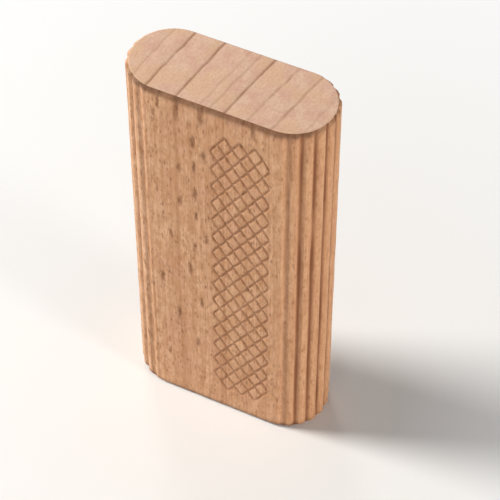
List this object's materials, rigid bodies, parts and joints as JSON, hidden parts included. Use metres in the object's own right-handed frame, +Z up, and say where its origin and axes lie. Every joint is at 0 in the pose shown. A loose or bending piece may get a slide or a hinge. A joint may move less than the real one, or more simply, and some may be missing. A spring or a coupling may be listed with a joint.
{
  "type": "loose tenon",
  "caption": "Flat beech tenon with half-round fluted edges, chamfered ends and a pressed lozenge relief on both cheeks, glued into matching mortises to join two boards.",
  "frame": {"origin": "centre of the lower end, on the surface the tenon stands on", "axes": "+X across the width, +Y through the thickness from the front cheek to the back cheek, +Z up along the grain"},
  "size_m": [0.024, 0.01, 0.05],
  "materials": {
    "beech": "raw machined beech, unsealed, with end grain on both ends"
  },
  "bodies": {
    "root": {"tenon": "beech"}
  },
  "joints": []
}
